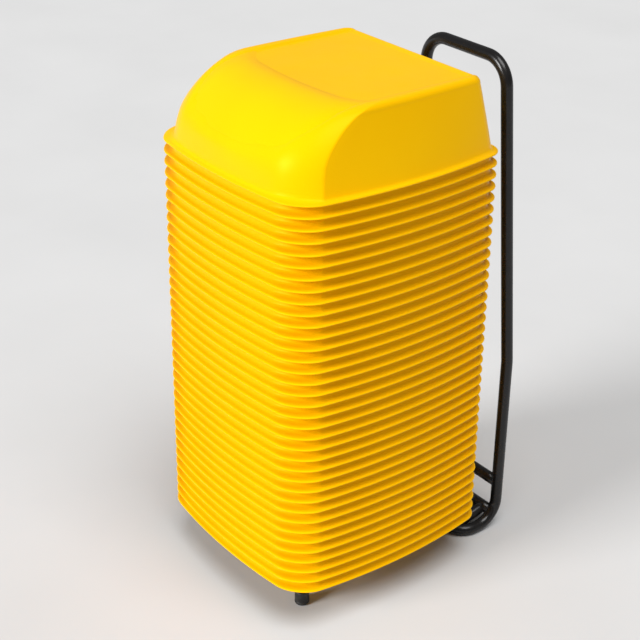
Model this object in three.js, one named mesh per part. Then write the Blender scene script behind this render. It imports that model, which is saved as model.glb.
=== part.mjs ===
// A stack of nesting booster seats on a tubular stacking trolley.
// Millimetres, +Z up. X is the width of a seat, -Y its front edge, +Y its back and the trolley's handle.
// The floor is z = 0 and the origin is the middle of the footprint.
import * as THREE from "three";

// ---- driving dimensions ------------------------------------------------------------------------
const SEAT_COUNT = 36;
const NEST_PITCH = 19; // rise from one nested seat to the next
const LIP_CLEARANCE = 80; // floor to the lowest rim
const SEAT_HEIGHT = 118; // lip to the top face
const RIM_HALF_WIDTH = 185.5; // at the corners; the sides bow out beyond it
const RIM_HALF_DEPTH = 195;
const FLANGE = 9; // rim beyond the foot of the wall
const LIP_THICKNESS = 3.2;
const FLARE_HEIGHT = 8; // lip's underside to the foot of the wall
const WALL = 2.4;
const DRAFT = Math.tan(THREE.MathUtils.degToRad(10)); // the walls lean in by this much per mm of height
const CROWN = 11; // edge rounding round the top face
const DISH = 4; // sink of the top face at its middle
const RIM_FRONT_BOW = 16.7;
const RIM_SIDE_BOW = 19.5;
const RIM_FRONT_RADIUS = 43;
const RIM_BACK_RADIUS = 27;
const WALL_BOW_LOSS = 14; // the sides are this much flatter at the top than at the foot
const WALL_FRONT_RADIUS = 64; // the front corners turn in a wide arc, then a tight one into the side
const WALL_FRONT_RADIUS_LOSS = 12;
const WALL_EDGE_RADIUS = 12;
const CORNER_SPLIT = THREE.MathUtils.degToRad(62); // where the wide arc hands over to the tight one
const WALL_BACK_RADIUS = 22;
const WALL_BACK_RADIUS_LOSS = 6;
const WATERFALL_DEPTH = 131; // the front edge rolls back this far from its foot to the top face
const WATERFALL_SCALE = 19.1; // the roll is WATERFALL_SCALE * drop ** WATERFALL_POWER, drop from the top
const WATERFALL_POWER = 0.443;
const FRONT_SOFTNESS = 5; // blends the plain draft into the roll
const WALL_LEVELS = [53, 82]; // heights where the wall's faces meet between foot and shoulder

const TUBE_RADIUS = 10;
const TUBE_WALL = 1.5;
const TUBE_SIDES = 10;
const BEND_STEPS = 5; // facets along a right-angled bend
const GAP = 0.3; // between pieces that touch

const HANDLE_SETBACK = 280; // seat centre to the plane of the handle
const HANDLE_HALF_WIDTH = 91.5; // where the uprights would meet the top bar
const UPRIGHT_HALF_WIDTH = 143.5; // uprights, below the kink
const HANDLE_TOP = 847;
const KINK_HEIGHT = 333; // where the uprights turn vertical
const HANDLE_BEND = 46;
const KINK_BEND = 60;
const FOOT_BEND = 44;
const FOOT_CORNER_BEND = 35;
const FOOT_RUN_SETBACK = 194.5; // seat centre to the rear foot's cross run
const HANDLE_JOINT_DROP = 25; // below the kink, where the handle hoop ends
const FOOT_JOINT_RISE = 12; // above the rear foot's bends, where the uprights start
const UPPER_CROSSBAR_HEIGHT = 87;
const LOWER_CROSSBAR_HEIGHT = 28;
const HEEL_STRUT_LIFT = 16; // the struts stop this much short, where the foot's run starts to curve back
const HEEL_STRUT_HALF_SPACING = 121.5; // short struts from the lower crossbar down to the foot's cross run

const RAIL_HALF_SPACING = 100;
const RAIL_LOW = 36; // the rails slope up from the lower crossbar, over the rear foot's cross run
const RAIL_RISE_SETBACK = 134; // seat centre to the rails' upright stretch
const RAIL_SLOPE_START = -40; // where the rails start to slope down to the front
const RAIL_BEND = 38;
const RAIL_SLOPE_BEND = 60;
const FRONT_LEG_HALF_SPACING = 117.5;
const FRONT_LEG_SETBACK = -132.4;
const FRONT_HOOP_HEIGHT = 120;
const FRONT_HOOP_BEND = 24;
const GLIDE_HEIGHT = 6;
const GLIDE_RADIUS = 12.2;
const GLIDE_BORE_RADIUS = 10.9;
const GLIDE_SLEEVE_TOP = 26;
const GLIDE_ROUNDING = 2.5;

// ---- derived places ----------------------------------------------------------------------------
const RIM_FRONT = RIM_HALF_DEPTH + RIM_FRONT_BOW;
// The footprint runs from the front of the rims to the back of the handle tube, and is centred on y = 0.
const FACETED_RADIUS = TUBE_RADIUS / Math.cos(Math.PI / TUBE_SIDES);
const SEAT_Y = (RIM_FRONT - HANDLE_SETBACK - TUBE_RADIUS) / 2;
const HANDLE_Y = SEAT_Y + HANDLE_SETBACK;
const FOOT_AXIS_HEIGHT = TUBE_RADIUS;
const FOOT_BEND_TOP = FOOT_AXIS_HEIGHT + FOOT_BEND;
const FOOT_JOINT_HEIGHT = FOOT_BEND_TOP + FOOT_JOINT_RISE;
const HANDLE_JOINT_HEIGHT = KINK_HEIGHT - HANDLE_JOINT_DROP;
// The lower crossbar meets the tubes where they curve under.
const LOWER_CROSSBAR_Y = HANDLE_Y - FOOT_BEND
  + Math.sqrt(FOOT_BEND ** 2 - (FOOT_BEND_TOP - LOWER_CROSSBAR_HEIGHT) ** 2);
const RAIL_TOP = LIP_CLEARANCE + SEAT_HEIGHT - WALL - DISH - 2 * GAP - TUBE_RADIUS;

// ---- materials ---------------------------------------------------------------------------------
const seatPlastic = () => new THREE.MeshStandardMaterial({ color: 0xffc800, roughness: 0.38, metalness: 0 });
const blackPaint = () => new THREE.MeshStandardMaterial({ color: 0x17181a, roughness: 0.35, metalness: 0.1 });
const blackPlastic = () => new THREE.MeshStandardMaterial({ color: 0x101010, roughness: 0.7, metalness: 0 });

// ---- mesh helpers ------------------------------------------------------------------------------
function meshGeometry(positions, index) {
  const geometry = new THREE.BufferGeometry();
  geometry.setAttribute("position", new THREE.Float32BufferAttribute(positions, 3));
  geometry.setIndex(index);
  geometry.computeVertexNormals();
  return geometry;
}

// The centre line of a bent tube: corner points, each rounded by its own bend radius.
function bentLine(corners, bends) {
  const line = [corners[0]];
  for (let i = 1; i + 1 < corners.length; i++) {
    const back = corners[i - 1].clone().sub(corners[i]).normalize();
    const on = corners[i + 1].clone().sub(corners[i]).normalize();
    const between = back.angleTo(on);
    const turn = Math.PI - between;
    const bisector = back.clone().add(on).normalize();
    const centre = corners[i].clone().addScaledVector(bisector, bends[i - 1] / Math.sin(between / 2));
    const tangentLength = bends[i - 1] / Math.tan(between / 2);
    const start = corners[i].clone().addScaledVector(back, tangentLength).sub(centre);
    const axis = back.clone().negate().cross(on).normalize();
    const steps = Math.max(2, Math.round((BEND_STEPS * turn) / (Math.PI / 2)));
    for (let s = 0; s <= steps; s++) {
      line.push(start.clone().applyAxisAngle(axis, (turn * s) / steps).add(centre));
    }
  }
  line.push(corners[corners.length - 1]);
  return line;
}

// A hollow tube along a centre line. `flat` is the direction that a facet faces at the first point.
function tubeAlong(line, flat) {
  const positions = [];
  let normal = flat.clone();
  const tangents = line.map((point, i) => {
    const before = line[Math.max(i - 1, 0)];
    const after = line[Math.min(i + 1, line.length - 1)];
    const toward = i > 0 ? point.clone().sub(before).normalize() : new THREE.Vector3();
    const away = i + 1 < line.length ? after.clone().sub(point).normalize() : new THREE.Vector3();
    return toward.add(away).normalize();
  });
  line.forEach((point, i) => {
    normal = normal.clone().addScaledVector(tangents[i], -normal.dot(tangents[i])).normalize();
    const side = tangents[i].clone().cross(normal);
    // A ring half-way round a facet of the bend is longer in the bend's plane, so the tube keeps its width.
    const into = i > 0 ? point.clone().sub(line[i - 1]).normalize() : tangents[i];
    const stretch = 1 / Math.max(into.dot(tangents[i]), 0.5);
    const bendSide = into.clone().addScaledVector(tangents[i], -into.dot(tangents[i]));
    const bent = bendSide.length() > 1e-6;
    if (bent) bendSide.normalize();
    [FACETED_RADIUS, FACETED_RADIUS - TUBE_WALL].forEach((radius) => {
      for (let k = 0; k < TUBE_SIDES; k++) {
        const angle = ((k + 0.5) * 2 * Math.PI) / TUBE_SIDES;
        const offset = normal.clone().multiplyScalar(radius * Math.cos(angle))
          .addScaledVector(side, radius * Math.sin(angle));
        if (bent) offset.addScaledVector(bendSide, offset.dot(bendSide) * (stretch - 1));
        positions.push(point.x + offset.x, point.y + offset.y, point.z + offset.z);
      }
    });
  });
  return meshGeometry(positions, tubeFaces(line.length));
}

// Outer skin, bore and the two end rings of a tube of that many stations.
function tubeFaces(stations) {
  const index = [];
  const quad = (a, b, c, d) => index.push(a, b, c, a, c, d);
  for (let k = 0; k < TUBE_SIDES; k++) {
    const next = (k + 1) % TUBE_SIDES;
    const inner = TUBE_SIDES;
    for (let i = 0; i + 1 < stations; i++) {
      const here = i * 2 * TUBE_SIDES;
      const there = here + 2 * TUBE_SIDES;
      quad(here + k, here + next, there + next, there + k);
      quad(here + inner + next, here + inner + k, there + inner + k, there + inner + next);
    }
    const last = (stations - 1) * 2 * TUBE_SIDES;
    quad(next, k, inner + k, inner + next);
    quad(last + k, last + next, last + inner + next, last + inner + k);
  }
  return index;
}

const at = (x, y, z) => new THREE.Vector3(x, y, z);

// ---- one seat ----------------------------------------------------------------------------------
// A front corner from the front edge round to the side, as distances in from the front tangent point.
function frontCorner(frontRadius, edgeRadius) {
  const wideX = frontRadius * Math.sin(CORNER_SPLIT);
  const wideY = frontRadius * (1 - Math.cos(CORNER_SPLIT));
  return [
    [0, 0],
    [frontRadius * Math.sin(CORNER_SPLIT / 2), frontRadius * (1 - Math.cos(CORNER_SPLIT / 2))],
    [wideX, wideY],
    [wideX + edgeRadius * (1 - Math.sin(CORNER_SPLIT)), wideY + edgeRadius * Math.cos(CORNER_SPLIT)],
  ];
}

// A level outline, anticlockwise from above: straight-ish sides with a bow, and rounded corners.
function outline(shape) {
  const { halfWidth, front, back, frontRadius, edgeRadius, backRadius, frontBow, sideBow } = shape;
  const corner = frontCorner(frontRadius, edgeRadius);
  const [cornerX, cornerY] = corner[corner.length - 1];
  const sideStart = front + cornerY;
  const sideEnd = back - backRadius;
  const right = corner.map(([x, y]) => [halfWidth - cornerX + x, front + y]);
  for (const share of [0.25, 0.5, 0.75]) {
    right.push([halfWidth, sideStart + (sideEnd - sideStart) * share]);
  }
  for (const turn of [0, 0.5, 1]) {
    const angle = (Math.PI / 2) * turn;
    right.push([
      halfWidth - backRadius + backRadius * Math.cos(angle),
      sideEnd + backRadius * Math.sin(angle),
    ]);
  }
  const left = right.toReversed().map(([x, y]) => [-x, y]);
  const points = [[0, front], ...right, [0, back], ...left];
  const middle = (front + back) / 2;
  return points.map(([x, y]) => {
    const acrossWidth = Math.min(Math.abs(x) / halfWidth, 1);
    const acrossDepth = Math.min(Math.abs(y) / shape.bowHalfDepth, 1);
    const forward = Math.max((middle - y) / (middle - front), 0) ** 2;
    const bowedX = x + Math.sign(x) * sideBow * (1 - acrossDepth ** 2) * acrossWidth ** 2;
    const bowedY = y - frontBow * (1 - acrossWidth ** 2) * forward;
    return [bowedX, bowedY, shape.height];
  });
}

// How far the front has rolled back from its foot at a height: plain draft low down, then the waterfall.
function frontRoll(height) {
  const drop = Math.max(SEAT_HEIGHT - height, 0);
  const draft = (height - FLARE_HEIGHT) * DRAFT;
  const roll = WATERFALL_DEPTH - WATERFALL_SCALE * drop ** WATERFALL_POWER;
  const blend = FRONT_SOFTNESS * Math.log1p(Math.exp(-Math.abs(draft - roll) / FRONT_SOFTNESS));
  return Math.max(draft, roll) + blend;
}

// The wall's outline at a height, drawn in by `inset` on every side. The front can be given its own level,
// and `crown` draws the sides and back in further where the top edge rounds over.
function wallOutline(height, inset, frontHeight = height, crown = 0) {
  const lean = (height - FLARE_HEIGHT) * DRAFT;
  const share = Math.max(height - FLARE_HEIGHT, 0) / (SEAT_HEIGHT - FLARE_HEIGHT);
  return outline({
    halfWidth: RIM_HALF_WIDTH - FLANGE - lean - inset - crown,
    front: -(RIM_HALF_DEPTH - FLANGE - inset) + frontRoll(Math.min(frontHeight, SEAT_HEIGHT)),
    back: RIM_HALF_DEPTH - FLANGE - lean - inset - crown,
    frontRadius: WALL_FRONT_RADIUS - WALL_FRONT_RADIUS_LOSS * share - inset,
    edgeRadius: WALL_EDGE_RADIUS - inset,
    backRadius: WALL_BACK_RADIUS - WALL_BACK_RADIUS_LOSS * share - inset - 0.3 * crown,
    frontBow: RIM_FRONT_BOW,
    sideBow: RIM_SIDE_BOW - WALL_BOW_LOSS * share,
    bowHalfDepth: RIM_HALF_DEPTH - FLANGE,
    height,
  });
}

function rimOutline(height) {
  return outline({
    halfWidth: RIM_HALF_WIDTH,
    front: -RIM_HALF_DEPTH,
    back: RIM_HALF_DEPTH,
    frontRadius: RIM_FRONT_RADIUS,
    edgeRadius: RIM_FRONT_RADIUS,
    backRadius: RIM_BACK_RADIUS,
    frontBow: RIM_FRONT_BOW,
    sideBow: RIM_SIDE_BOW,
    bowHalfDepth: RIM_HALF_DEPTH,
    height,
  });
}

// One seat: an open-bottomed shell with a flanged rim, its lip at z = 0.
function seatGeometry() {
  const shoulder = SEAT_HEIGHT - CROWN;
  const innerTop = SEAT_HEIGHT - WALL;
  const wallInset = WALL * Math.sqrt(1 + DRAFT ** 2);
  // Under the rolled front the shell keeps its thickness upwards as well as inwards.
  const insideLevel = (height) => wallOutline(height, wallInset, height + WALL * (height / SEAT_HEIGHT) ** 2);
  const outside = [
    rimOutline(0),
    rimOutline(LIP_THICKNESS),
    ...[FLARE_HEIGHT, ...WALL_LEVELS, shoulder].map((height) => wallOutline(height, 0)),
    crownOutline(shoulder, shoulder + CROWN * Math.SQRT1_2, CROWN * (1 - Math.SQRT1_2), 0),
    crownOutline(shoulder, SEAT_HEIGHT, CROWN, 0),
  ];
  const inside = [
    crownOutline(shoulder - WALL, innerTop, CROWN, wallInset),
    ...[shoulder - WALL, ...WALL_LEVELS.toReversed(), 0].map(insideLevel),
  ];
  return closedBowl([...outside, ...inside], outside.length);
}

// Where the top edge rounds over: the shoulder's outline, drawn in by `crown` and lifted to `height`.
function crownOutline(shoulder, height, crown, inset) {
  const frontHeight = inset > 0 ? height + WALL : height;
  return wallOutline(shoulder, inset, frontHeight, crown).map(([x, y]) => [x, y, height]);
}

// Joins the rings of a bowl's outside (rim to top) and inside (top to rim) into one closed skin.
function closedBowl(rings, outsideCount) {
  const around = rings[0].length;
  const positions = rings.flat(2);
  const index = [];
  const band = (lower, upper) => {
    for (let j = 0; j < around; j++) {
      const next = (j + 1) % around;
      const a = lower * around + j;
      const b = lower * around + next;
      const c = upper * around + next;
      const d = upper * around + j;
      index.push(a, b, c, a, c, d);
    }
  };
  for (let i = 0; i + 1 < outsideCount; i++) band(i, i + 1);
  for (let i = outsideCount; i + 1 < rings.length; i++) band(i, i + 1);
  band(rings.length - 1, 0);
  const cap = (ring, sink, upward) => {
    const points = rings[ring];
    const centre = positions.length / 3;
    const middleY = (points[0][1] + points[points.length / 2][1]) / 2;
    positions.push(0, middleY, points[0][2] - sink);
    for (let j = 0; j < around; j++) {
      const a = ring * around + j;
      const b = ring * around + ((j + 1) % around);
      if (upward) index.push(a, b, centre);
      else index.push(b, a, centre);
    }
  };
  cap(outsideCount - 1, DISH, true);
  cap(outsideCount, DISH, false);
  return meshGeometry(positions, index);
}

// ---- assembly ----------------------------------------------------------------------------------
const part = new THREE.Group();

function add(name, geometry, material, position = [0, 0, 0]) {
  const mesh = new THREE.Mesh(geometry, material);
  mesh.name = name;
  mesh.position.set(...position);
  part.add(mesh);
}

const seat = seatGeometry();
for (let i = 0; i < SEAT_COUNT; i++) {
  const name = "seat_" + String(i + 1).padStart(2, "0");
  add(name, seat, seatPlastic(), [0, SEAT_Y, LIP_CLEARANCE + i * NEST_PITCH]);
}

const UP = at(0, 0, 1);
const BACK = at(0, 1, 0);

// The main tube is one closed loop: handle hoop, two uprights and the rear foot, end to end.
const handleLine = bentLine([
  at(-UPRIGHT_HALF_WIDTH, HANDLE_Y, HANDLE_JOINT_HEIGHT + GAP / 2),
  at(-UPRIGHT_HALF_WIDTH, HANDLE_Y, KINK_HEIGHT),
  at(-HANDLE_HALF_WIDTH, HANDLE_Y, HANDLE_TOP),
  at(HANDLE_HALF_WIDTH, HANDLE_Y, HANDLE_TOP),
  at(UPRIGHT_HALF_WIDTH, HANDLE_Y, KINK_HEIGHT),
  at(UPRIGHT_HALF_WIDTH, HANDLE_Y, HANDLE_JOINT_HEIGHT + GAP / 2),
], [KINK_BEND, HANDLE_BEND, HANDLE_BEND, KINK_BEND]);
add("handle_hoop", tubeAlong(handleLine, BACK), blackPaint());

for (const [name, side] of [["upright_left", -1], ["upright_right", 1]]) {
  const x = side * UPRIGHT_HALF_WIDTH;
  const line = [at(x, HANDLE_Y, FOOT_JOINT_HEIGHT + GAP / 2), at(x, HANDLE_Y, HANDLE_JOINT_HEIGHT - GAP / 2)];
  add(name, tubeAlong(line, BACK), blackPaint());
}

const footY = SEAT_Y + FOOT_RUN_SETBACK;
const footLine = bentLine([
  at(-UPRIGHT_HALF_WIDTH, HANDLE_Y, FOOT_JOINT_HEIGHT - GAP / 2),
  at(-UPRIGHT_HALF_WIDTH, HANDLE_Y, FOOT_AXIS_HEIGHT),
  at(-UPRIGHT_HALF_WIDTH, footY, FOOT_AXIS_HEIGHT),
  at(UPRIGHT_HALF_WIDTH, footY, FOOT_AXIS_HEIGHT),
  at(UPRIGHT_HALF_WIDTH, HANDLE_Y, FOOT_AXIS_HEIGHT),
  at(UPRIGHT_HALF_WIDTH, HANDLE_Y, FOOT_JOINT_HEIGHT - GAP / 2),
], [FOOT_BEND, FOOT_CORNER_BEND, FOOT_CORNER_BEND, FOOT_BEND]);
add("rear_foot_loop", tubeAlong(footLine, BACK), blackPaint());

const crossbarEnd = UPRIGHT_HALF_WIDTH - FACETED_RADIUS - GAP;
for (const [name, y, z] of [
  ["crossbar_upper", HANDLE_Y, UPPER_CROSSBAR_HEIGHT],
  ["crossbar_lower", LOWER_CROSSBAR_Y, LOWER_CROSSBAR_HEIGHT],
]) {
  add(name, tubeAlong([at(-crossbarEnd, y, z), at(crossbarEnd, y, z)], UP), blackPaint());
}

// Short struts brace the heel between the lower crossbar and the bend into the foot's cross run.
const heelTurn = Math.asin((HEEL_STRUT_HALF_SPACING - UPRIGHT_HALF_WIDTH) / FOOT_CORNER_BEND + 1);
const heelY = footY + FOOT_CORNER_BEND * (1 - Math.cos(heelTurn));
for (const [name, side] of [["heel_strut_left", -1], ["heel_strut_right", 1]]) {
  const x = side * HEEL_STRUT_HALF_SPACING;
  const top = at(x, LOWER_CROSSBAR_Y, LOWER_CROSSBAR_HEIGHT);
  const bottom = at(x, heelY, FOOT_AXIS_HEIGHT);
  const down = bottom.clone().sub(top).normalize();
  const clear = FACETED_RADIUS + GAP;
  const line = [top.addScaledVector(down, clear), bottom.addScaledVector(down, -clear - HEEL_STRUT_LIFT)];
  add(name, tubeAlong(line, at(1, 0, 0)), blackPaint());
}

// Two rails rise inside the lowest seat and carry it under its top; the front hoop holds their ends.
const hoopY = SEAT_Y + FRONT_LEG_SETBACK;
for (const [name, side] of [["cradle_rail_left", -1], ["cradle_rail_right", 1]]) {
  const x = side * RAIL_HALF_SPACING;
  const slopeTop = at(x, SEAT_Y + RAIL_SLOPE_START, RAIL_TOP);
  const hoopTop = at(x, hoopY, FRONT_HOOP_HEIGHT);
  const slope = slopeTop.clone().sub(hoopTop).normalize();
  const line = bentLine([
    at(x, LOWER_CROSSBAR_Y - FACETED_RADIUS - GAP, LOWER_CROSSBAR_HEIGHT),
    at(x, SEAT_Y + RAIL_RISE_SETBACK, RAIL_LOW),
    at(x, SEAT_Y + RAIL_RISE_SETBACK, RAIL_TOP),
    slopeTop,
    hoopTop.clone().addScaledVector(slope, FACETED_RADIUS + GAP),
  ], [RAIL_BEND, RAIL_BEND, RAIL_SLOPE_BEND]);
  add(name, tubeAlong(line, UP), blackPaint());
}

const hoopLine = bentLine([
  at(-FRONT_LEG_HALF_SPACING, hoopY, GLIDE_HEIGHT + GAP),
  at(-FRONT_LEG_HALF_SPACING, hoopY, FRONT_HOOP_HEIGHT),
  at(FRONT_LEG_HALF_SPACING, hoopY, FRONT_HOOP_HEIGHT),
  at(FRONT_LEG_HALF_SPACING, hoopY, GLIDE_HEIGHT + GAP),
], [FRONT_HOOP_BEND, FRONT_HOOP_BEND]);
add("front_leg_hoop", tubeAlong(hoopLine, BACK), blackPaint());

// A plastic glide caps each front leg: a solid foot with a rounded edge and a sleeve up round the tube.
const glideProfile = [
  [0, 0],
  [GLIDE_RADIUS - GLIDE_ROUNDING, 0],
  [GLIDE_RADIUS, GLIDE_ROUNDING],
  [GLIDE_RADIUS, GLIDE_SLEEVE_TOP],
  [GLIDE_BORE_RADIUS, GLIDE_SLEEVE_TOP],
  [GLIDE_BORE_RADIUS, GLIDE_HEIGHT],
  [0, GLIDE_HEIGHT],
].map(([radius, height]) => new THREE.Vector2(radius, height));
for (const [name, side] of [["foot_glide_left", -1], ["foot_glide_right", 1]]) {
  const glide = new THREE.LatheGeometry(glideProfile, 16).rotateX(Math.PI / 2);
  add(name, glide, blackPlastic(), [side * FRONT_LEG_HALF_SPACING, hoopY, 0]);
}

export default part;
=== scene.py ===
"""A stack of nesting booster seats on its bent-tube trolley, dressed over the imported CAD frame."""

import math

import bpy
import numpy as np
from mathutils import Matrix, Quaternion, Vector


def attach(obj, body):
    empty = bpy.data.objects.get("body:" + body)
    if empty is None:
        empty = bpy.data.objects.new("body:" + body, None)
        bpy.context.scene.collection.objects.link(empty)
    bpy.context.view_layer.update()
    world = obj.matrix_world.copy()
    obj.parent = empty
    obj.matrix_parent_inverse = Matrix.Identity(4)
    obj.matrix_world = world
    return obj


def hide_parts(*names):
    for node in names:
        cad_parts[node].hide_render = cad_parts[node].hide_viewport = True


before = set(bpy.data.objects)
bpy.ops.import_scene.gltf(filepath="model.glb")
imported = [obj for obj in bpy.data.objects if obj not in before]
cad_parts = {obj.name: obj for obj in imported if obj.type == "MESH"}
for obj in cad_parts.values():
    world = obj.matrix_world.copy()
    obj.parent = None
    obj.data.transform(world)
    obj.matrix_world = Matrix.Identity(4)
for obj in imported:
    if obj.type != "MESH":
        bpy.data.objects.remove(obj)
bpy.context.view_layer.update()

MM = 0.001

# ---- the seats, in millimetres -------------------------------------------------------------------
SEAT_COUNT = 36
NEST_PITCH = 19.0
LIP_CLEARANCE = 80.0
SEAT_HEIGHT = 118.0
RIM_HALF_WIDTH = 185.5
RIM_HALF_DEPTH = 195.0
FLANGE = 9.0
FLARE_HEIGHT = 8.0
WALL = 2.4
DRAFT = math.tan(math.radians(10))
CROWN = 11.0
RIM_FRONT_BOW = 16.7
RIM_SIDE_BOW = 19.5
RIM_FRONT_RADIUS = 43.0
RIM_BACK_RADIUS = 27.0
WALL_BOW_LOSS = 14.0
WALL_FRONT_RADIUS = 64.0
WALL_FRONT_RADIUS_LOSS = 12.0
WALL_EDGE_RADIUS = 12.0
CORNER_SPLIT = math.radians(62)
WALL_BACK_RADIUS = 22.0
WALL_BACK_RADIUS_LOSS = 6.0
WATERFALL_DEPTH = 131.0
WATERFALL_SCALE = 19.1
WATERFALL_POWER = 0.443
FRONT_SOFTNESS = 5.0  # over how much depth the draft blends into the waterfall

# (how far out from the foot of the wall, height), from the lip's underside round its rounded edge
RIM_PROFILE = (
    (6.2, 0.0), (7.8, 0.05), (8.7, 0.55), (9.0, 1.45), (8.75, 2.35), (8.0, 2.95),
    (6.6, 3.2), (4.6, 3.45), (2.9, 4.1), (1.5, 5.2), (0.6, 6.5),
)
WALL_LEVELS = (  # heights of the wall's rings, up to the crown
    8.0, 14.0, 24.0, 36.0, 48.0, 58.0, 67.0, 75.0, 82.0, 88.5, 94.0, 99.0, 103.0, 106.0,
)
CROWN_DROPS = (11.0, 8.6, 6.4, 4.6, 3.1, 2.0, 1.2, 0.65, 0.3, 0.1, 0.0)  # below the top
TOP_INSETS = (  # in from the crown's edge, over the flat top
    2.5, 5.0, 7.5, 10.0, 12.5, 15.5, 19.0, 25.0, 34.0, 46.0, 60.0, 76.0, 94.0,
)
CROWN_CORNER_LOSS = 0.3  # of the back corners' radius, for each unit the crown comes in
INSIDE_LEVELS = (14.0, 30.0, 48.0, 62.0, 74.0, 84.0, 92.0, 99.0, 104.0)
INSIDE_CROWN_STEPS = 4
CEILING_SCALES = (0.90, 0.60, 0.30)

DISH_DEPTH = 4.0
DISH_BORDER_TOP = 145.0  # the recess's half width on the top face
DISH_BORDER_FRONT = 128.0  # and low on the rolled front
DISH_WIDENS = (70.0, 114.0)  # between these heights it goes from the one to the other
DISH_FOOT = 52.0  # height of its lower edge at the middle of the front
DISH_FOOT_RISE = 17.0  # how much higher that edge is at DISH_FOOT_SPREAD off the middle
DISH_FOOT_SPREAD = 120.0
DISH_FRONT_END = -60.0  # behind this only the sides bound it
DISH_WELL_INSIDE = -60.0
DISH_ROUNDING = 24.0
DISH_EDGE = (-5.0, 2.5)  # the border's slope, measured outward across the recess's outline
DISH_BACK_RISE = 0.6  # the share of the depth lost at the open back
DISH_BACK_SETBACKS = (46.0, 30.0)  # in from the rim, where that starts and ends
# On the rolled front the recess is cut back as well as down, by the share that the front is steep.
DISH_STEEP_DROP = 60.0
DISH_STEEP_DEPTHS = (-10.0, 60.0)
DISH_STEEP_SHARE = 0.6

# ---- the trolley ---------------------------------------------------------------------------------
TUBE_RADIUS = 10.0
HANDLE_SETBACK = 280.0
HANDLE_HALF_WIDTH = 91.5
UPRIGHT_HALF_WIDTH = 143.5
HANDLE_TOP = 847.0
KINK_HEIGHT = 333.0
HANDLE_BEND = 46.0
KINK_BEND = 60.0
FOOT_BEND = 44.0
FOOT_CORNER_BEND = 35.0
FOOT_RUN_SETBACK = 194.5
UPPER_CROSSBAR_HEIGHT = 87.0
LOWER_CROSSBAR_HEIGHT = 28.0
HEEL_STRUT_HALF_SPACING = 121.5
RAIL_HALF_SPACING = 100.0
RAIL_LOW = 36.0
RAIL_RISE_SETBACK = 134.0
RAIL_TOP = 181.0
RAIL_SLOPE_START = -40.0
RAIL_BEND = 38.0
RAIL_SLOPE_BEND = 60.0
FRONT_LEG_HALF_SPACING = 117.5
FRONT_LEG_SETBACK = -132.4
FRONT_HOOP_HEIGHT = 120.0
FRONT_HOOP_BEND = 24.0
GLIDE_HEIGHT = 6.0
MAIN_TUBE_END = 0.6  # each end stops this far from the middle of the foot
CROSS_TUBE_INSET = 3.0  # a cross tube ends this far short of the uprights' centre lines
CROSS_TUBE_STEPS = 12
STRUT_INSET = 4.0
STRUT_STEPS = 8
RAIL_INSET = 2.5

# (radius, height) of a glide: a domed foot, a moulded step, and a sleeve that grips the tube
GLIDE_PROFILE = (
    (0.0, 0.0), (6.5, 0.0), (9.2, 0.3), (11.0, 1.2), (11.9, 2.6), (12.15, 4.4), (12.15, 6.2),
    (11.75, 6.6), (11.75, 7.2), (12.1, 7.7), (12.0, 23.6), (11.8, 24.9), (11.3, 25.7), (10.6, 26.0),
    (10.15, 25.6), (10.05, 24.5), (10.05, 7.0), (0.0, 7.0),
)
GLIDE_SIDES = 36

SEAT_Y = (RIM_HALF_DEPTH + RIM_FRONT_BOW - HANDLE_SETBACK - TUBE_RADIUS) / 2
HANDLE_Y = SEAT_Y + HANDLE_SETBACK
FOOT_BEND_TOP = TUBE_RADIUS + FOOT_BEND
LOWER_CROSSBAR_DROP = FOOT_BEND_TOP - LOWER_CROSSBAR_HEIGHT
LOWER_CROSSBAR_Y = HANDLE_Y - FOOT_BEND + math.sqrt(FOOT_BEND ** 2 - LOWER_CROSSBAR_DROP ** 2)
FOOT_RUN_Y = SEAT_Y + FOOT_RUN_SETBACK
HEEL_TURN = math.asin((HEEL_STRUT_HALF_SPACING - UPRIGHT_HALF_WIDTH) / FOOT_CORNER_BEND + 1)
HEEL_Y = FOOT_RUN_Y + FOOT_CORNER_BEND * (1 - math.cos(HEEL_TURN))
HOOP_Y = SEAT_Y + FRONT_LEG_SETBACK

# ---- colours, in linear light --------------------------------------------------------------------
SEAT_YELLOW = (0.93, 0.500, 0.0004)
SEAT_YELLOW_CLOUD = (0.95, 0.520, 0.0006)
SEAT_YELLOW_RUBBED = (0.95, 0.57, 0.006)
SEAT_SHEEN = (1.0, 0.80, 0.06, 1.0)
PAINT_BLACK = (0.0065, 0.0060, 0.0062)
PAINT_DUSTY = (0.017, 0.0155, 0.0145)
PAINT_CHIPPED = (0.075, 0.068, 0.060)
GLIDE_BLACK = (0.010, 0.010, 0.010)
GLIDE_SCUFFED = (0.055, 0.052, 0.048)
FLOOR_GREY = (0.60, 0.60, 0.60)
FLOOR_GREY_LIGHT = (0.63, 0.63, 0.63)


# ---- node material helpers -----------------------------------------------------------------------
def new_material(name):
    material = bpy.data.materials.new(name)
    material.use_nodes = True
    nodes = material.node_tree.nodes
    nodes.clear()
    out = nodes.new("ShaderNodeOutputMaterial")
    shader = nodes.new("ShaderNodeBsdfPrincipled")
    material.node_tree.links.new(shader.outputs["BSDF"], out.inputs["Surface"])
    return material, shader


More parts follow.
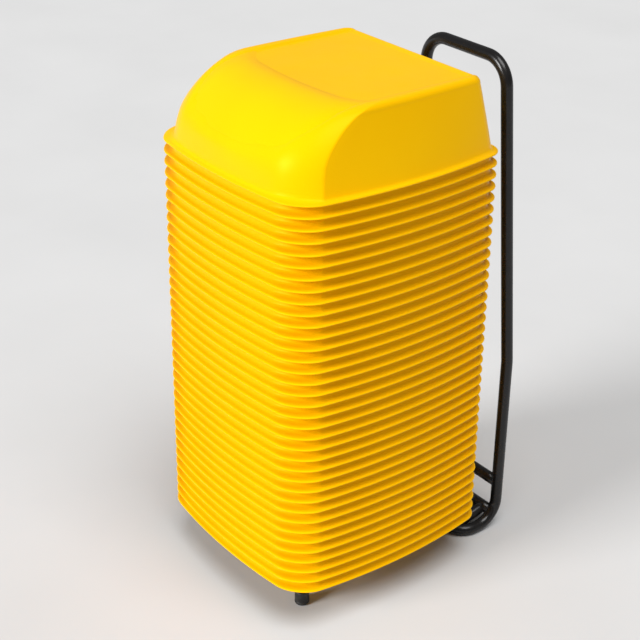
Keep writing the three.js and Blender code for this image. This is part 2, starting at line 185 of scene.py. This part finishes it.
class Nodes:
    """Short calls for building one material's node tree."""

    def __init__(self, material):
        self.tree = material.node_tree
        self.coord = self.tree.nodes.new("ShaderNodeTexCoord").outputs["Object"]

    def link(self, a, b):
        self.tree.links.new(a, b)

    def noise(self, scale, detail=3.0, roughness=0.5, stretch=None):
        node = self.tree.nodes.new("ShaderNodeTexNoise")
        node.inputs["Scale"].default_value = scale
        node.inputs["Detail"].default_value = detail
        node.inputs["Roughness"].default_value = roughness
        source = self.coord
        if stretch:
            mapping = self.tree.nodes.new("ShaderNodeMapping")
            mapping.inputs["Scale"].default_value = stretch
            self.link(self.coord, mapping.inputs["Vector"])
            source = mapping.outputs["Vector"]
        self.link(source, node.inputs["Vector"])
        return node.outputs["Fac"]

    def span(self, value, low, high, out_low=0.0, out_high=1.0):
        node = self.tree.nodes.new("ShaderNodeMapRange")
        node.inputs["From Min"].default_value = low
        node.inputs["From Max"].default_value = high
        node.inputs["To Min"].default_value = out_low
        node.inputs["To Max"].default_value = out_high
        self.link(value, node.inputs["Value"])
        return node.outputs["Result"]

    def mix(self, factor, first, second):
        node = self.tree.nodes.new("ShaderNodeMix")
        node.data_type = "RGBA"
        self.link(factor, node.inputs[0])
        for socket, value in ((node.inputs[6], first), (node.inputs[7], second)):
            if isinstance(value, tuple):
                socket.default_value = (*value, 1.0)
            else:
                self.link(value, socket)
        return node.outputs[2]

    def math(self, operation, first, second):
        node = self.tree.nodes.new("ShaderNodeMath")
        node.operation = operation
        for socket, value in ((node.inputs[0], first), (node.inputs[1], second)):
            if isinstance(value, (int, float)):
                socket.default_value = value
            else:
                self.link(value, socket)
        return node.outputs[0]

    def bump(self, height, strength, distance, normal=None):
        node = self.tree.nodes.new("ShaderNodeBump")
        node.inputs["Strength"].default_value = strength
        node.inputs["Distance"].default_value = distance
        self.link(height, node.inputs["Height"])
        if normal:
            self.link(normal, node.inputs["Normal"])
        return node.outputs["Normal"]


def seat_material():
    material, shader = new_material("seat_plastic")
    n = Nodes(material)
    # Moulded polypropylene: an even pigment with faint flow clouds and a few pale rub marks.
    clouds = n.span(n.noise(7.0, 2.0), 0.35, 0.68)
    base = n.mix(clouds, SEAT_YELLOW, SEAT_YELLOW_CLOUD)
    rubs = n.span(n.noise(38.0, 6.0, 0.62, (1.0, 1.0, 0.35)), 0.66, 0.80, 0.0, 0.16)
    n.link(n.mix(rubs, base, SEAT_YELLOW_RUBBED), shader.inputs["Base Color"])
    haze = n.span(n.noise(16.0, 3.0), 0.3, 0.7, 0.30, 0.38)
    n.link(n.math("ADD", haze, n.math("MULTIPLY", rubs, 0.5)), shader.inputs["Roughness"])
    grain = n.noise(900.0, 2.0)
    ripple = n.noise(22.0, 1.0)
    fine = n.bump(grain, 0.10, 0.0002)
    n.link(n.bump(ripple, 0.12, 0.0012, fine), shader.inputs["Normal"])
    shader.inputs["IOR"].default_value = 1.49
    shader.inputs["Specular IOR Level"].default_value = 0.20
    shader.inputs["Specular Tint"].default_value = SEAT_SHEEN
    shader.inputs["Subsurface Weight"].default_value = 0.04
    shader.inputs["Subsurface Radius"].default_value = (0.004, 0.002, 0.0003)
    shader.inputs["Subsurface Scale"].default_value = 1.0
    return material


def paint_material():
    material, shader = new_material("frame_paint")
    n = Nodes(material)
    # Black stoved enamel with a light orange peel, patches of dust and small chips.
    dust = n.span(n.noise(14.0, 5.0, 0.6), 0.48, 0.75)
    base = n.mix(dust, PAINT_BLACK, PAINT_DUSTY)
    chips = n.span(n.noise(210.0, 5.0, 0.65), 0.70, 0.735, 0.0, 0.8)
    n.link(n.mix(chips, base, PAINT_CHIPPED), shader.inputs["Base Color"])
    haze = n.span(n.noise(30.0, 4.0), 0.3, 0.7, 0.20, 0.34)
    n.link(n.math("ADD", haze, n.math("MULTIPLY", chips, 0.3)), shader.inputs["Roughness"])
    peel = n.bump(n.noise(420.0, 2.0), 0.10, 0.0003)
    n.link(peel, shader.inputs["Normal"])
    shader.inputs["IOR"].default_value = 1.5
    shader.inputs["Specular IOR Level"].default_value = 0.3
    shader.inputs["Coat Weight"].default_value = 0.12
    shader.inputs["Coat Roughness"].default_value = 0.12
    return material


def glide_material():
    material, shader = new_material("glide_plastic")
    n = Nodes(material)
    scuff = n.span(n.noise(120.0, 5.0, 0.6), 0.5, 0.75)
    n.link(n.mix(scuff, GLIDE_BLACK, GLIDE_SCUFFED), shader.inputs["Base Color"])
    n.link(n.span(scuff, 0.0, 1.0, 0.5, 0.72), shader.inputs["Roughness"])
    n.link(n.bump(n.noise(700.0, 2.0), 0.25, 0.0002), shader.inputs["Normal"])
    return material


SEAT_PLASTIC = seat_material()
FRAME_PAINT = paint_material()
GLIDE_PLASTIC = glide_material()


# ---- mesh helpers --------------------------------------------------------------------------------
def mesh_from(name, points, faces, material):
    mesh = bpy.data.meshes.new(name)
    mesh.from_pydata([tuple(float(c) * MM for c in p) for p in points], [], faces)
    mesh.materials.append(material)
    mesh.shade_smooth()
    mesh.validate()
    mesh.update()
    return mesh


def place(name, mesh, body, nodes, offset=(0.0, 0.0, 0.0)):
    piece = bpy.data.objects.new(name, mesh)
    piece.location = [c * MM for c in offset]
    bpy.context.scene.collection.objects.link(piece)
    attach(piece, body)
    if nodes:
        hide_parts(*nodes)
    return piece


def band_faces(lower, upper, around):
    """Quads between two rings of a closed loop, given the index of each ring's first point."""
    return [
        (lower + j, lower + (j + 1) % around, upper + (j + 1) % around, upper + j)
        for j in range(around)
    ]


def close_loop(start, around, centre, flip):
    """Triangles that close a loop onto its centre point."""
    faces = [(start + j, start + (j + 1) % around, centre) for j in range(around)]
    return [f[::-1] for f in faces] if flip else faces


# ---- one seat ------------------------------------------------------------------------------------
CORNER_STEPS_FRONT = 17
CORNER_STEPS_WIDE = 11
CORNER_STEPS_BACK = 7
FRONT_STEPS = 20
SIDE_STEPS = 14
BACK_STEPS = 12


def outline(half_width, front, back, front_radius, edge_radius, back_radius, front_bow, side_bow,
            bow_half_depth):
    """A level outline from above, anticlockwise from the left side's front corner.

    A front corner turns in two arcs: a wide one off the front, and a tight one into the side.
    """
    points = []
    wide_x = front_radius * math.sin(CORNER_SPLIT)
    wide_y = front_radius * (1 - math.cos(CORNER_SPLIT))
    corner_x = wide_x + edge_radius * (1 - math.sin(CORNER_SPLIT))
    corner_y = wide_y + edge_radius * math.cos(CORNER_SPLIT)
    corner = []
    for s in range(CORNER_STEPS_FRONT + 1):
        if s <= CORNER_STEPS_WIDE:
            a = CORNER_SPLIT * s / CORNER_STEPS_WIDE
            corner.append((front_radius * math.sin(a), front_radius * (1 - math.cos(a))))
        else:
            t = (s - CORNER_STEPS_WIDE) / (CORNER_STEPS_FRONT - CORNER_STEPS_WIDE)
            a = CORNER_SPLIT + (math.pi / 2 - CORNER_SPLIT) * t
            corner.append((wide_x + edge_radius * (math.sin(a) - math.sin(CORNER_SPLIT)),
                           wide_y + edge_radius * (math.cos(CORNER_SPLIT) - math.cos(a))))

    def back_corner(cx, cy, start):
        for s in range(CORNER_STEPS_BACK + 1):
            a = start + (math.pi / 2) * s / CORNER_STEPS_BACK
            points.append((cx + back_radius * math.cos(a), cy + back_radius * math.sin(a)))

    def run(x0, y0, x1, y1, steps):
        for s in range(1, steps):
            t = s / steps
            points.append((x0 + (x1 - x0) * t, y0 + (y1 - y0) * t))

    fx, fy = half_width - corner_x, front + corner_y
    bx, by = half_width - back_radius, back - back_radius
    points += [(-fx - x, front + y) for x, y in reversed(corner)]
    run(-fx, front, fx, front, FRONT_STEPS)
    points += [(fx + x, front + y) for x, y in corner]
    run(half_width, fy, half_width, by, SIDE_STEPS)
    back_corner(bx, by, 0.0)
    run(bx, back, -bx, back, BACK_STEPS)
    back_corner(-bx, by, math.pi / 2)
    run(-half_width, by, -half_width, fy, SIDE_STEPS)
    p = np.array(points)
    across = np.clip(np.abs(p[:, 0]) / half_width, 0, 1)
    depth = np.clip(np.abs(p[:, 1]) / bow_half_depth, 0, 1)
    # The bow at the front fades out behind the corners.
    middle = (front + back) / 2
    forward = np.clip((middle - p[:, 1]) / (middle - front), 0, 1) ** 2
    x = p[:, 0] + np.sign(p[:, 0]) * side_bow * (1 - depth ** 2) * across ** 2
    y = p[:, 1] - front_bow * (1 - across ** 2) * forward
    return np.stack([x, y], 1)


def front_roll(height):
    """How far the front has rolled back from its foot at a height: plain draft, then the waterfall."""
    drop = max(SEAT_HEIGHT - height, 0.0)
    draft = (height - FLARE_HEIGHT) * DRAFT
    roll = WATERFALL_DEPTH - WATERFALL_SCALE * drop ** WATERFALL_POWER
    return max(draft, roll) + FRONT_SOFTNESS * math.log1p(math.exp(-abs(draft - roll) / FRONT_SOFTNESS))


def wall_ring(height, inset=0.0, front_height=None, crown_inset=0.0):
    """The wall's outline at a height; where the crown rolls over, the front has a height of its own."""
    lean = (height - FLARE_HEIGHT) * DRAFT
    share = max(height - FLARE_HEIGHT, 0.0) / (SEAT_HEIGHT - FLARE_HEIGHT)
    front_height = height if front_height is None else front_height
    return outline(
        RIM_HALF_WIDTH - FLANGE - lean - inset - crown_inset,
        -(RIM_HALF_DEPTH - FLANGE - inset) + front_roll(min(front_height, SEAT_HEIGHT)),
        RIM_HALF_DEPTH - FLANGE - lean - inset - crown_inset,
        WALL_FRONT_RADIUS - WALL_FRONT_RADIUS_LOSS * share - inset,
        WALL_EDGE_RADIUS - inset,
        WALL_BACK_RADIUS - WALL_BACK_RADIUS_LOSS * share - inset - CROWN_CORNER_LOSS * crown_inset,
        RIM_FRONT_BOW,
        RIM_SIDE_BOW - WALL_BOW_LOSS * share,
        RIM_HALF_DEPTH - FLANGE,
    )


def rim_ring(outward):
    """The rim's outline, `outward` from the foot of the wall; FLANGE out is the rim's edge."""
    t = outward / FLANGE
    foot = wall_ring(FLARE_HEIGHT)
    edge = outline(RIM_HALF_WIDTH, -RIM_HALF_DEPTH, RIM_HALF_DEPTH, RIM_FRONT_RADIUS, RIM_FRONT_RADIUS,
                   RIM_BACK_RADIUS, RIM_FRONT_BOW, RIM_SIDE_BOW, RIM_HALF_DEPTH)
    return foot * (1 - t) + edge * t


def smooth_step(value, low, high):
    t = np.clip((value - low) / (high - low), 0, 1)
    return t * t * (3 - 2 * t)


def dish_depth(x, y, z):
    """How deep the sitting surface is sunk at a point: a shallow recess with a soft raised border."""
    side = np.abs(x)
    rise = smooth_step(z, *DISH_WIDENS)
    past_side = side - (DISH_BORDER_FRONT + (DISH_BORDER_TOP - DISH_BORDER_FRONT) * rise)
    past_foot = (DISH_FOOT + DISH_FOOT_RISE * (side / DISH_FOOT_SPREAD) ** 2) - z
    past_foot = np.where(y > DISH_FRONT_END, DISH_WELL_INSIDE, past_foot)
    a = np.clip(past_side + DISH_ROUNDING, 0, None)
    b = np.clip(past_foot + DISH_ROUNDING, 0, None)
    past = np.hypot(a, b) - DISH_ROUNDING
    back_start, back_end = (RIM_HALF_DEPTH - setback for setback in DISH_BACK_SETBACKS)
    open_back = 1 - DISH_BACK_RISE * smooth_step(y, back_start, back_end)
    return DISH_DEPTH * (1 - smooth_step(past, *DISH_EDGE)) * open_back


def seat_mesh(material):
    rings = []  # (x, y) outlines with heights, from the lip's underside over the top
    # The rim: a thin out-turned lip with a rounded edge, flaring into the wall.
    for outward, height in RIM_PROFILE:
        rings.append((rim_ring(outward), height))
    shoulder = SEAT_HEIGHT - CROWN
    for height in WALL_LEVELS:
        rings.append((wall_ring(height), height))
    # The wall's lean stops where the crown starts to round over.
    for drop in CROWN_DROPS:
        lift = 1 - drop / CROWN
        ring = wall_ring(shoulder, 0.0, SEAT_HEIGHT - drop, CROWN * (1 - math.sqrt(1 - lift ** 2)))
        rings.append((ring, SEAT_HEIGHT - drop))
    outside = [np.column_stack([r, np.full(len(r), h)]) for r, h in rings]
    # The top closes in on its middle in rings, and ends in a fan.
    edge = outside[-1]
    centre = np.array([0.0, (edge[:, 1].min() + edge[:, 1].max()) / 2, 0.0])
    half = np.array([np.abs(edge[:, 0]).max(), np.ptp(edge[:, 1]) / 2, 1.0])
    for inset in TOP_INSETS:
        scale = np.clip(1 - inset / half, 0.0, 1.0)
        ring = centre + (edge - centre) * scale
        ring[:, 2] = edge[:, 2]
        outside.append(ring)
    # The dish: a shallow recess over the top and down the front, with a soft raised border round it.
    for ring in outside[len(RIM_PROFILE):]:
        x, y, z = ring[:, 0].copy(), ring[:, 1].copy(), ring[:, 2].copy()
        depth = dish_depth(x, y, z)
        steep = np.clip((SEAT_HEIGHT - z) / DISH_STEEP_DROP, 0, 1) * smooth_step(-y, *DISH_STEEP_DEPTHS)
        ring[:, 2] -= depth * (1 - DISH_STEEP_SHARE * steep)
        ring[:, 1] += depth * steep
    around = len(edge)
    points = np.concatenate(outside)
    faces = []
    for i in range(len(outside) - 1):
        faces += band_faces(i * around, (i + 1) * around, around)
    faces += close_loop((len(outside) - 1) * around, around, len(points), False)
    points = np.concatenate([points, [outside[-1].mean(axis=0)]])
    # The inside is the same shell one wall thickness in.
    inner_start = len(points)
    inset = WALL * math.sqrt(1 + DRAFT ** 2)
    inside_rings = [np.column_stack([wall_ring(0.0, inset), np.zeros(around)])]
    for height in INSIDE_LEVELS:
        level = wall_ring(height, inset, height + WALL * (height / SEAT_HEIGHT) ** 2)
        inside_rings.append(np.column_stack([level, np.full(around, height)]))
    inner_top = SEAT_HEIGHT - WALL
    for step in range(1, INSIDE_CROWN_STEPS + 1):
        a = (math.pi / 2) * step / INSIDE_CROWN_STEPS
        height = (shoulder - WALL) + CROWN * math.sin(a)
        level = wall_ring(shoulder - WALL, inset, min(height + WALL, SEAT_HEIGHT), CROWN * (1 - math.cos(a)))
        inside_rings.append(np.column_stack([level, np.full(around, height)]))
    inner_edge = inside_rings[-1]
    centre = np.array([0.0, (inner_edge[:, 1].min() + inner_edge[:, 1].max()) / 2, 0.0])
    for scale in CEILING_SCALES:
        ring = centre + (inner_edge - centre) * scale
        ring[:, 2] = inner_top - DISH_DEPTH
        inside_rings.append(ring)
    points = np.concatenate([points] + inside_rings)
    for i in range(len(inside_rings) - 1):
        lower = inner_start + i * around
        faces += [f[::-1] for f in band_faces(lower, lower + around, around)]
    faces += close_loop(inner_start + (len(inside_rings) - 1) * around, around, len(points), True)
    points = np.concatenate([points, [inside_rings[-1].mean(axis=0)]])
    # The lip's underside.
    faces += [f[::-1] for f in band_faces(0, inner_start, around)]
    return mesh_from("seat", points, faces, material)


seat = seat_mesh(SEAT_PLASTIC)
LOOSE_SEATS = ("seat_34", "seat_35", "seat_36")
for number in range(1, SEAT_COUNT + 1):
    node = "seat_%02d" % number
    body = node if node in LOOSE_SEATS else "seat_stack"
    height = LIP_CLEARANCE + (number - 1) * NEST_PITCH
    place("moulded_" + node, seat, body, [node], (0.0, SEAT_Y, height))


# ---- the trolley ---------------------------------------------------------------------------------
TUBE_SIDES = 28
BEND_SPACING = 4.0  # between the points of an arc
WELD_RADIUS = 1.35
WELD_SIDES = 8
WELD_STEPS = 64
WELD_RIPPLE = 0.10  # of the bead's radius
WELD_SET_IN = 1.4  # the bead's centre line, in from the bar's skin
WELD_LEAST_RISE = 0.8  # squared; it keeps the root real at the widest part of the bar


def bent_line(corners, bends):
    """The centre line through corners, with an arc of the given radius at each one between the ends."""
    corners = [Vector(c) for c in corners]
    line = [corners[0]]
    for i in range(1, len(corners) - 1):
        back = (corners[i - 1] - corners[i]).normalized()
        on = (corners[i + 1] - corners[i]).normalized()
        between = back.angle(on)
        turn = math.pi - between
        radius = bends[i - 1]
        centre = corners[i] + (back + on).normalized() * (radius / math.sin(between / 2))
        start = corners[i] + back * (radius / math.tan(between / 2)) - centre
        axis = (-back).cross(on).normalized()
        steps = max(3, round(radius * turn / BEND_SPACING))
        for s in range(steps + 1):
            line.append(Quaternion(axis, turn * s / steps) @ start + centre)
    line.append(corners[-1])
    return line


def tube_skin(line, radius=TUBE_RADIUS, sides=TUBE_SIDES, closed=False, ripple=0.0):
    """Points and faces of a round skin along a line; open ends are closed flat."""
    count = len(line)
    points = []
    normal = None
    for i, p in enumerate(line):
        before = line[(i - 1) % count] if (closed or i > 0) else p
        after = line[(i + 1) % count] if (closed or i + 1 < count) else p
        tangent = (after - before).normalized()
        if normal is None:
            normal = Vector((0, 0, 1)) if abs(tangent.z) < 0.9 else Vector((0, 1, 0))
        normal = (normal - tangent * normal.dot(tangent)).normalized()
        side = tangent.cross(normal)
        size = radius * (1 + ripple * math.sin(i * math.pi / 2))
        for k in range(sides):
            a = 2 * math.pi * k / sides
            points.append(p + normal * (size * math.cos(a)) + side * (size * math.sin(a)))
    faces = []
    for i in range(count if closed else count - 1):
        faces += band_faces(i * sides, ((i + 1) % count) * sides, sides)
    if not closed:
        faces.append(tuple(range(sides))[::-1])
        faces.append(tuple((count - 1) * sides + k for k in range(sides)))
    return points, faces


def weld_line(centre, toward, main_axis, bar_radius):
    """The saddle where a bar, coming along -`toward`, runs into the side of a main tube."""
    d, m = Vector(toward).normalized(), Vector(main_axis).normalized()
    d = (d - m * d.dot(m)).normalized()
    n = d.cross(m)
    line = []
    for s in range(WELD_STEPS):
        a = 2 * math.pi * s / WELD_STEPS
        off = bar_radius * math.sin(a)
        line.append(Vector(centre) + m * (bar_radius * math.cos(a)) + n * off
                    + d * math.sqrt(max(TUBE_RADIUS ** 2 - off ** 2, WELD_LEAST_RISE)))
    return line


def joined(parts):
    """One list of points and one of faces, from several."""
    points, faces = [], []
    for p, f in parts:
        base = len(points)
        points += p
        faces += [tuple(base + v for v in face) for face in f]
    return points, faces


def weld(centre, toward, main_axis):
    line = weld_line(centre, toward, main_axis, TUBE_RADIUS - WELD_SET_IN)
    return tube_skin(line, WELD_RADIUS, WELD_SIDES, closed=True, ripple=WELD_RIPPLE)


def trolley_piece(name, parts, nodes):
    points, faces = joined(parts)
    return place(name, mesh_from(name, points, faces, FRAME_PAINT), "trolley", nodes)


# One tube is bent into the handle, both uprights and the rear foot; its ends meet under the cross run.
main_line = bent_line(
    [
        (MAIN_TUBE_END, FOOT_RUN_Y, TUBE_RADIUS),
        (UPRIGHT_HALF_WIDTH, FOOT_RUN_Y, TUBE_RADIUS),
        (UPRIGHT_HALF_WIDTH, HANDLE_Y, TUBE_RADIUS),
        (UPRIGHT_HALF_WIDTH, HANDLE_Y, KINK_HEIGHT),
        (HANDLE_HALF_WIDTH, HANDLE_Y, HANDLE_TOP),
        (-HANDLE_HALF_WIDTH, HANDLE_Y, HANDLE_TOP),
        (-UPRIGHT_HALF_WIDTH, HANDLE_Y, KINK_HEIGHT),
        (-UPRIGHT_HALF_WIDTH, HANDLE_Y, TUBE_RADIUS),
        (-UPRIGHT_HALF_WIDTH, FOOT_RUN_Y, TUBE_RADIUS),
        (-MAIN_TUBE_END, FOOT_RUN_Y, TUBE_RADIUS),
    ],
    [
        FOOT_CORNER_BEND, FOOT_BEND, KINK_BEND, HANDLE_BEND,
        HANDLE_BEND, KINK_BEND, FOOT_BEND, FOOT_CORNER_BEND,
    ],
)
trolley_piece(
    "bent_main_tube",
    [tube_skin(main_line)],
    ["handle_hoop", "upright_left", "upright_right", "rear_foot_loop"],
)

reach = UPRIGHT_HALF_WIDTH - CROSS_TUBE_INSET
bend_angle = math.asin(LOWER_CROSSBAR_DROP / FOOT_BEND)
lower_axis = (0.0, math.sin(bend_angle), math.cos(bend_angle))
for name, node, y, z, axis in (
    ("upper_cross_tube", "crossbar_upper", HANDLE_Y, UPPER_CROSSBAR_HEIGHT, (0, 0, 1)),
    ("lower_cross_tube", "crossbar_lower", LOWER_CROSSBAR_Y, LOWER_CROSSBAR_HEIGHT, lower_axis),
):
    line = [Vector((-reach + 2 * reach * s / CROSS_TUBE_STEPS, y, z)) for s in range(CROSS_TUBE_STEPS + 1)]
    beads = [weld((side * UPRIGHT_HALF_WIDTH, y, z), (-side, 0, 0), axis) for side in (-1, 1)]
    trolley_piece(name, [tube_skin(line)] + beads, [node])

for name, node, side in (("heel_strut_tube_left", "heel_strut_left", -1),
                         ("heel_strut_tube_right", "heel_strut_right", 1)):
    x = side * HEEL_STRUT_HALF_SPACING
    top = Vector((x, LOWER_CROSSBAR_Y, LOWER_CROSSBAR_HEIGHT))
    bottom = Vector((x, HEEL_Y, TUBE_RADIUS))
    down = (bottom - top).normalized()
    heel_axis = (math.cos(HEEL_TURN), side * math.sin(HEEL_TURN), 0)
    length = (bottom - top).length - 2 * STRUT_INSET
    line = [top + down * STRUT_INSET + down * length * s / STRUT_STEPS for s in range(STRUT_STEPS + 1)]
    beads = [weld(top, down, (1, 0, 0)), weld(bottom, -down, heel_axis)]
    trolley_piece(name, [tube_skin(line)] + beads, [node])

for name, node, side in (("cradle_tube_left", "cradle_rail_left", -1),
                         ("cradle_tube_right", "cradle_rail_right", 1)):
    x = side * RAIL_HALF_SPACING
    slope_top = Vector((x, SEAT_Y + RAIL_SLOPE_START, RAIL_TOP))
    hoop_top = Vector((x, HOOP_Y, FRONT_HOOP_HEIGHT))
    slope = (slope_top - hoop_top).normalized()
    line = bent_line(
        [
            (x, LOWER_CROSSBAR_Y - RAIL_INSET, LOWER_CROSSBAR_HEIGHT),
            (x, SEAT_Y + RAIL_RISE_SETBACK, RAIL_LOW),
            (x, SEAT_Y + RAIL_RISE_SETBACK, RAIL_TOP),
            slope_top,
            hoop_top + slope * RAIL_INSET,
        ],
        [RAIL_BEND, RAIL_BEND, RAIL_SLOPE_BEND],
    )
    beads = [
        weld((x, LOWER_CROSSBAR_Y, LOWER_CROSSBAR_HEIGHT), (0, -1, 0), (1, 0, 0)),
        weld(hoop_top, slope, (1, 0, 0)),
    ]
    trolley_piece(name, [tube_skin(line)] + beads, [node])

hoop_line = bent_line(
    [
        (-FRONT_LEG_HALF_SPACING, HOOP_Y, GLIDE_HEIGHT),
        (-FRONT_LEG_HALF_SPACING, HOOP_Y, FRONT_HOOP_HEIGHT),
        (FRONT_LEG_HALF_SPACING, HOOP_Y, FRONT_HOOP_HEIGHT),
        (FRONT_LEG_HALF_SPACING, HOOP_Y, GLIDE_HEIGHT),
    ],
    [FRONT_HOOP_BEND, FRONT_HOOP_BEND],
)
trolley_piece("front_hoop_tube", [tube_skin(hoop_line)], ["front_leg_hoop"])


def lathe(profile, sides):
    """A closed solid of revolution about Z; the profile starts and ends on the axis."""
    points = [Vector((0, 0, profile[0][1]))]
    for radius, height in profile[1:-1]:
        for k in range(sides):
            a = 2 * math.pi * k / sides
            points.append(Vector((radius * math.cos(a), radius * math.sin(a), height)))
    points.append(Vector((0, 0, profile[-1][1])))
    last = len(points) - 1
    rings = len(profile) - 2
    faces = [(0, 1 + (k + 1) % sides, 1 + k) for k in range(sides)]
    for i in range(rings - 1):
        faces += band_faces(1 + i * sides, 1 + (i + 1) * sides, sides)
    top = 1 + (rings - 1) * sides
    faces += [(last, top + k, top + (k + 1) % sides) for k in range(sides)]
    return points, faces


# Each glide caps its leg.
for name, node, side in (("glide_left", "foot_glide_left", -1), ("glide_right", "foot_glide_right", 1)):
    points, faces = lathe(GLIDE_PROFILE, GLIDE_SIDES)
    mesh = mesh_from(name, points, faces, GLIDE_PLASTIC)
    place(name, mesh, "trolley", [node], (side * FRONT_LEG_HALF_SPACING, HOOP_Y, 0.0))


# ---- floor, light and camera ---------------------------------------------------------------------
FLOOR_HALF_SIZE = 14.0  # metres
LAMP_DISTANCE = 4.0
WORLD_STRENGTH = 0.22
CAMERA_AZIMUTH = 51.987
CAMERA_ELEVATION = 27.456
CAMERA_ROLL = 0.874
CAMERA_DISTANCE = 2.36636
CAMERA_TARGET = (0.00086, (SEAT_Y + 1.12) * MM, 0.45822)
FOCAL_LENGTH = 82.106
SENSOR_WIDTH = 36.0
SHIFT_X = -0.01009
SHIFT_Y = -0.01714


def floor_material():
    material, shader = new_material("pale_floor")
    n = Nodes(material)
    clouds = n.span(n.noise(2.0, 3.0), 0.3, 0.7)
    n.link(n.mix(clouds, FLOOR_GREY, FLOOR_GREY_LIGHT), shader.inputs["Base Color"])
    shader.inputs["Roughness"].default_value = 0.7
    return material


floor_mesh = bpy.data.meshes.new("floor")
floor_corners = [
    (x * FLOOR_HALF_SIZE, y * FLOOR_HALF_SIZE, 0)
    for x, y in ((-1, -1), (1, -1), (1, 1), (-1, 1))
]
floor_mesh.from_pydata(floor_corners, [], [(0, 1, 2, 3)])
floor_mesh.materials.append(floor_material())
floor = bpy.data.objects.new("floor", floor_mesh)
bpy.context.scene.collection.objects.link(floor)


def aim(obj, target):
    direction = Vector(target) - obj.location
    obj.rotation_euler = direction.to_track_quat("-Z", "Y").to_euler()


def direction_at(azimuth, elevation):
    """The direction at an azimuth and elevation in degrees; azimuth 0 is in front, on -Y."""
    a, e = math.radians(azimuth), math.radians(elevation)
    return Vector((math.sin(a) * math.cos(e), -math.cos(a) * math.cos(e), math.sin(e)))


def sun_light(name, azimuth, elevation, strength, angle):
    data = bpy.data.lights.new(name, "SUN")
    data.energy = strength
    data.angle = math.radians(angle)
    lamp = bpy.data.objects.new(name, data)
    lamp.location = LAMP_DISTANCE * direction_at(azimuth, elevation)
    bpy.context.scene.collection.objects.link(lamp)
    aim(lamp, (0.0, 0.0, 0.0))


sun_light("key", azimuth=-6, elevation=24, strength=3.0, angle=22)
sun_light("overhead", azimuth=75, elevation=70, strength=2.25, angle=38)

world = bpy.data.worlds.new("studio")
world.use_nodes = True
world.node_tree.nodes["Background"].inputs["Color"].default_value = (1.0, 1.0, 1.0, 1.0)
world.node_tree.nodes["Background"].inputs["Strength"].default_value = WORLD_STRENGTH
bpy.context.scene.world = world

bpy.context.scene.view_settings.view_transform = "Standard"
bpy.context.scene.view_settings.look = "None"

camera_data = bpy.data.cameras.new("camera")
camera_data.lens = FOCAL_LENGTH
camera_data.sensor_width = SENSOR_WIDTH
camera_data.shift_x = SHIFT_X
camera_data.shift_y = SHIFT_Y
camera_data.clip_end = 100.0
camera = bpy.data.objects.new("camera", camera_data)
target = Vector(CAMERA_TARGET)
camera.location = target + CAMERA_DISTANCE * direction_at(CAMERA_AZIMUTH, CAMERA_ELEVATION)
bpy.context.scene.collection.objects.link(camera)
upright = (target - camera.location).to_track_quat("-Z", "Y")
camera.rotation_euler = (upright @ Quaternion((0, 0, 1), math.radians(CAMERA_ROLL))).to_euler()
bpy.context.scene.camera = camera
